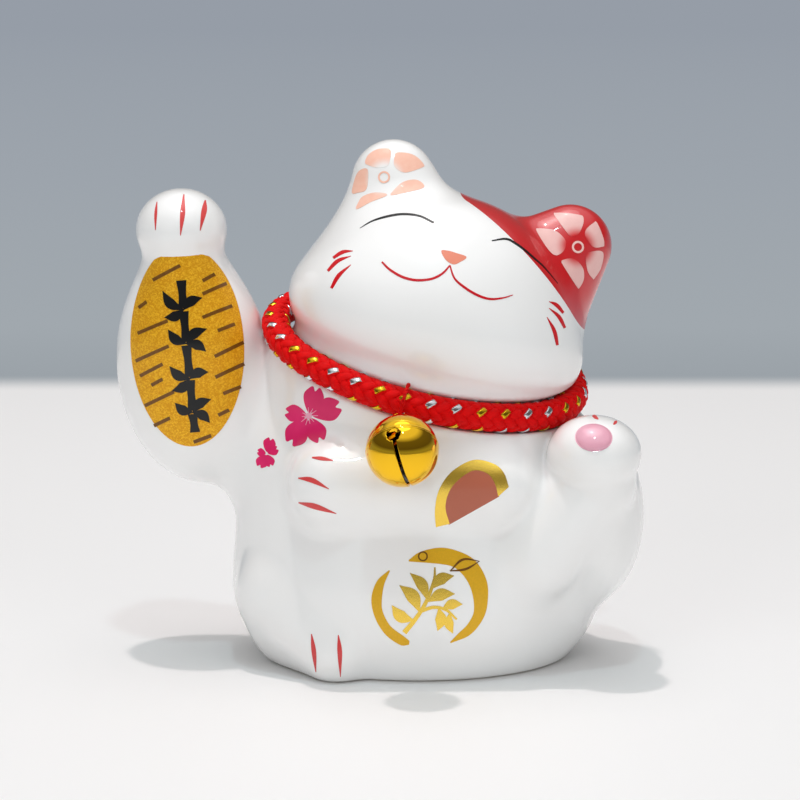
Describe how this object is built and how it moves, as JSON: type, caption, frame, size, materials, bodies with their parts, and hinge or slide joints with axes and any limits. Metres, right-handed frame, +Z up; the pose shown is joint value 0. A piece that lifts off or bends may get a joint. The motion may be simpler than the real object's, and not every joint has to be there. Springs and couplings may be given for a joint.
{
  "type": "ceramic beckoning cat figurine",
  "caption": "Seated glazed ceramic cat with one raised paw holding a gilded koban, a braided cord collar and a swinging jingle bell.",
  "frame": {"origin": "middle of the flat foot on the table", "axes": "+Z up, -Y towards the front of the figure, +X to the viewer's right"},
  "size_m": [0.1145, 0.0868, 0.1125],
  "materials": {
    "glaze": "clear glossy glaze over white body, painted under and over the glaze",
    "gilding": "gold glitter lustre",
    "pad_glaze": "glossy pink enamel",
    "cord": "braided satin cord with gold and silver tinsel",
    "thread": "twisted red thread",
    "bell_metal": "bright plated",
    "pellet_steel": "plain",
    "stopper_rubber": "translucent white"
  },
  "bodies": {
    "root": {"torso_casting": "glaze", "head_casting": "glaze", "raised_arm_casting": "glaze", "raised_leg_casting": "glaze", "koban_plate": "gilding", "paw_pad": "pad_glaze", "collar_cord": "cord", "collar_wrap": "thread"},
    "tie": {"bell_tie": "thread"},
    "bell": {"bell_eye": "bell_metal", "bell_upper_shell": "bell_metal", "bell_lower_shell": "bell_metal"},
    "pellet": {"bell_pellet": "pellet_steel"},
    "stopper": {"base_stopper": "stopper_rubber"}
  },
  "joints": [
    {"name": "bell_lift", "type": "hinge", "parent": "root", "child": "tie", "pos_m": [-0.00573, -0.02606, 0.06037], "axis": [-0.9633, 0.0849, 0.2548], "range_deg": [0, 70]},
    {"name": "bell_swing", "type": "hinge", "parent": "tie", "child": "bell", "pos_m": [-0.00674, -0.02984, 0.05783], "axis": [0.1601, -0.5802, 0.7986], "range_deg": [-40, 12]},
    {"name": "pellet_roll", "type": "hinge", "parent": "bell", "child": "pellet", "pos_m": [-0.00604, -0.0373, 0.05227], "axis": [1, 0, 0], "range_deg": [-60, 60]},
    {"name": "stopper_pull", "type": "slide", "parent": "root", "child": "stopper", "axis": [0, 0, -1], "range_m": [0, 0.02]}
  ]
}
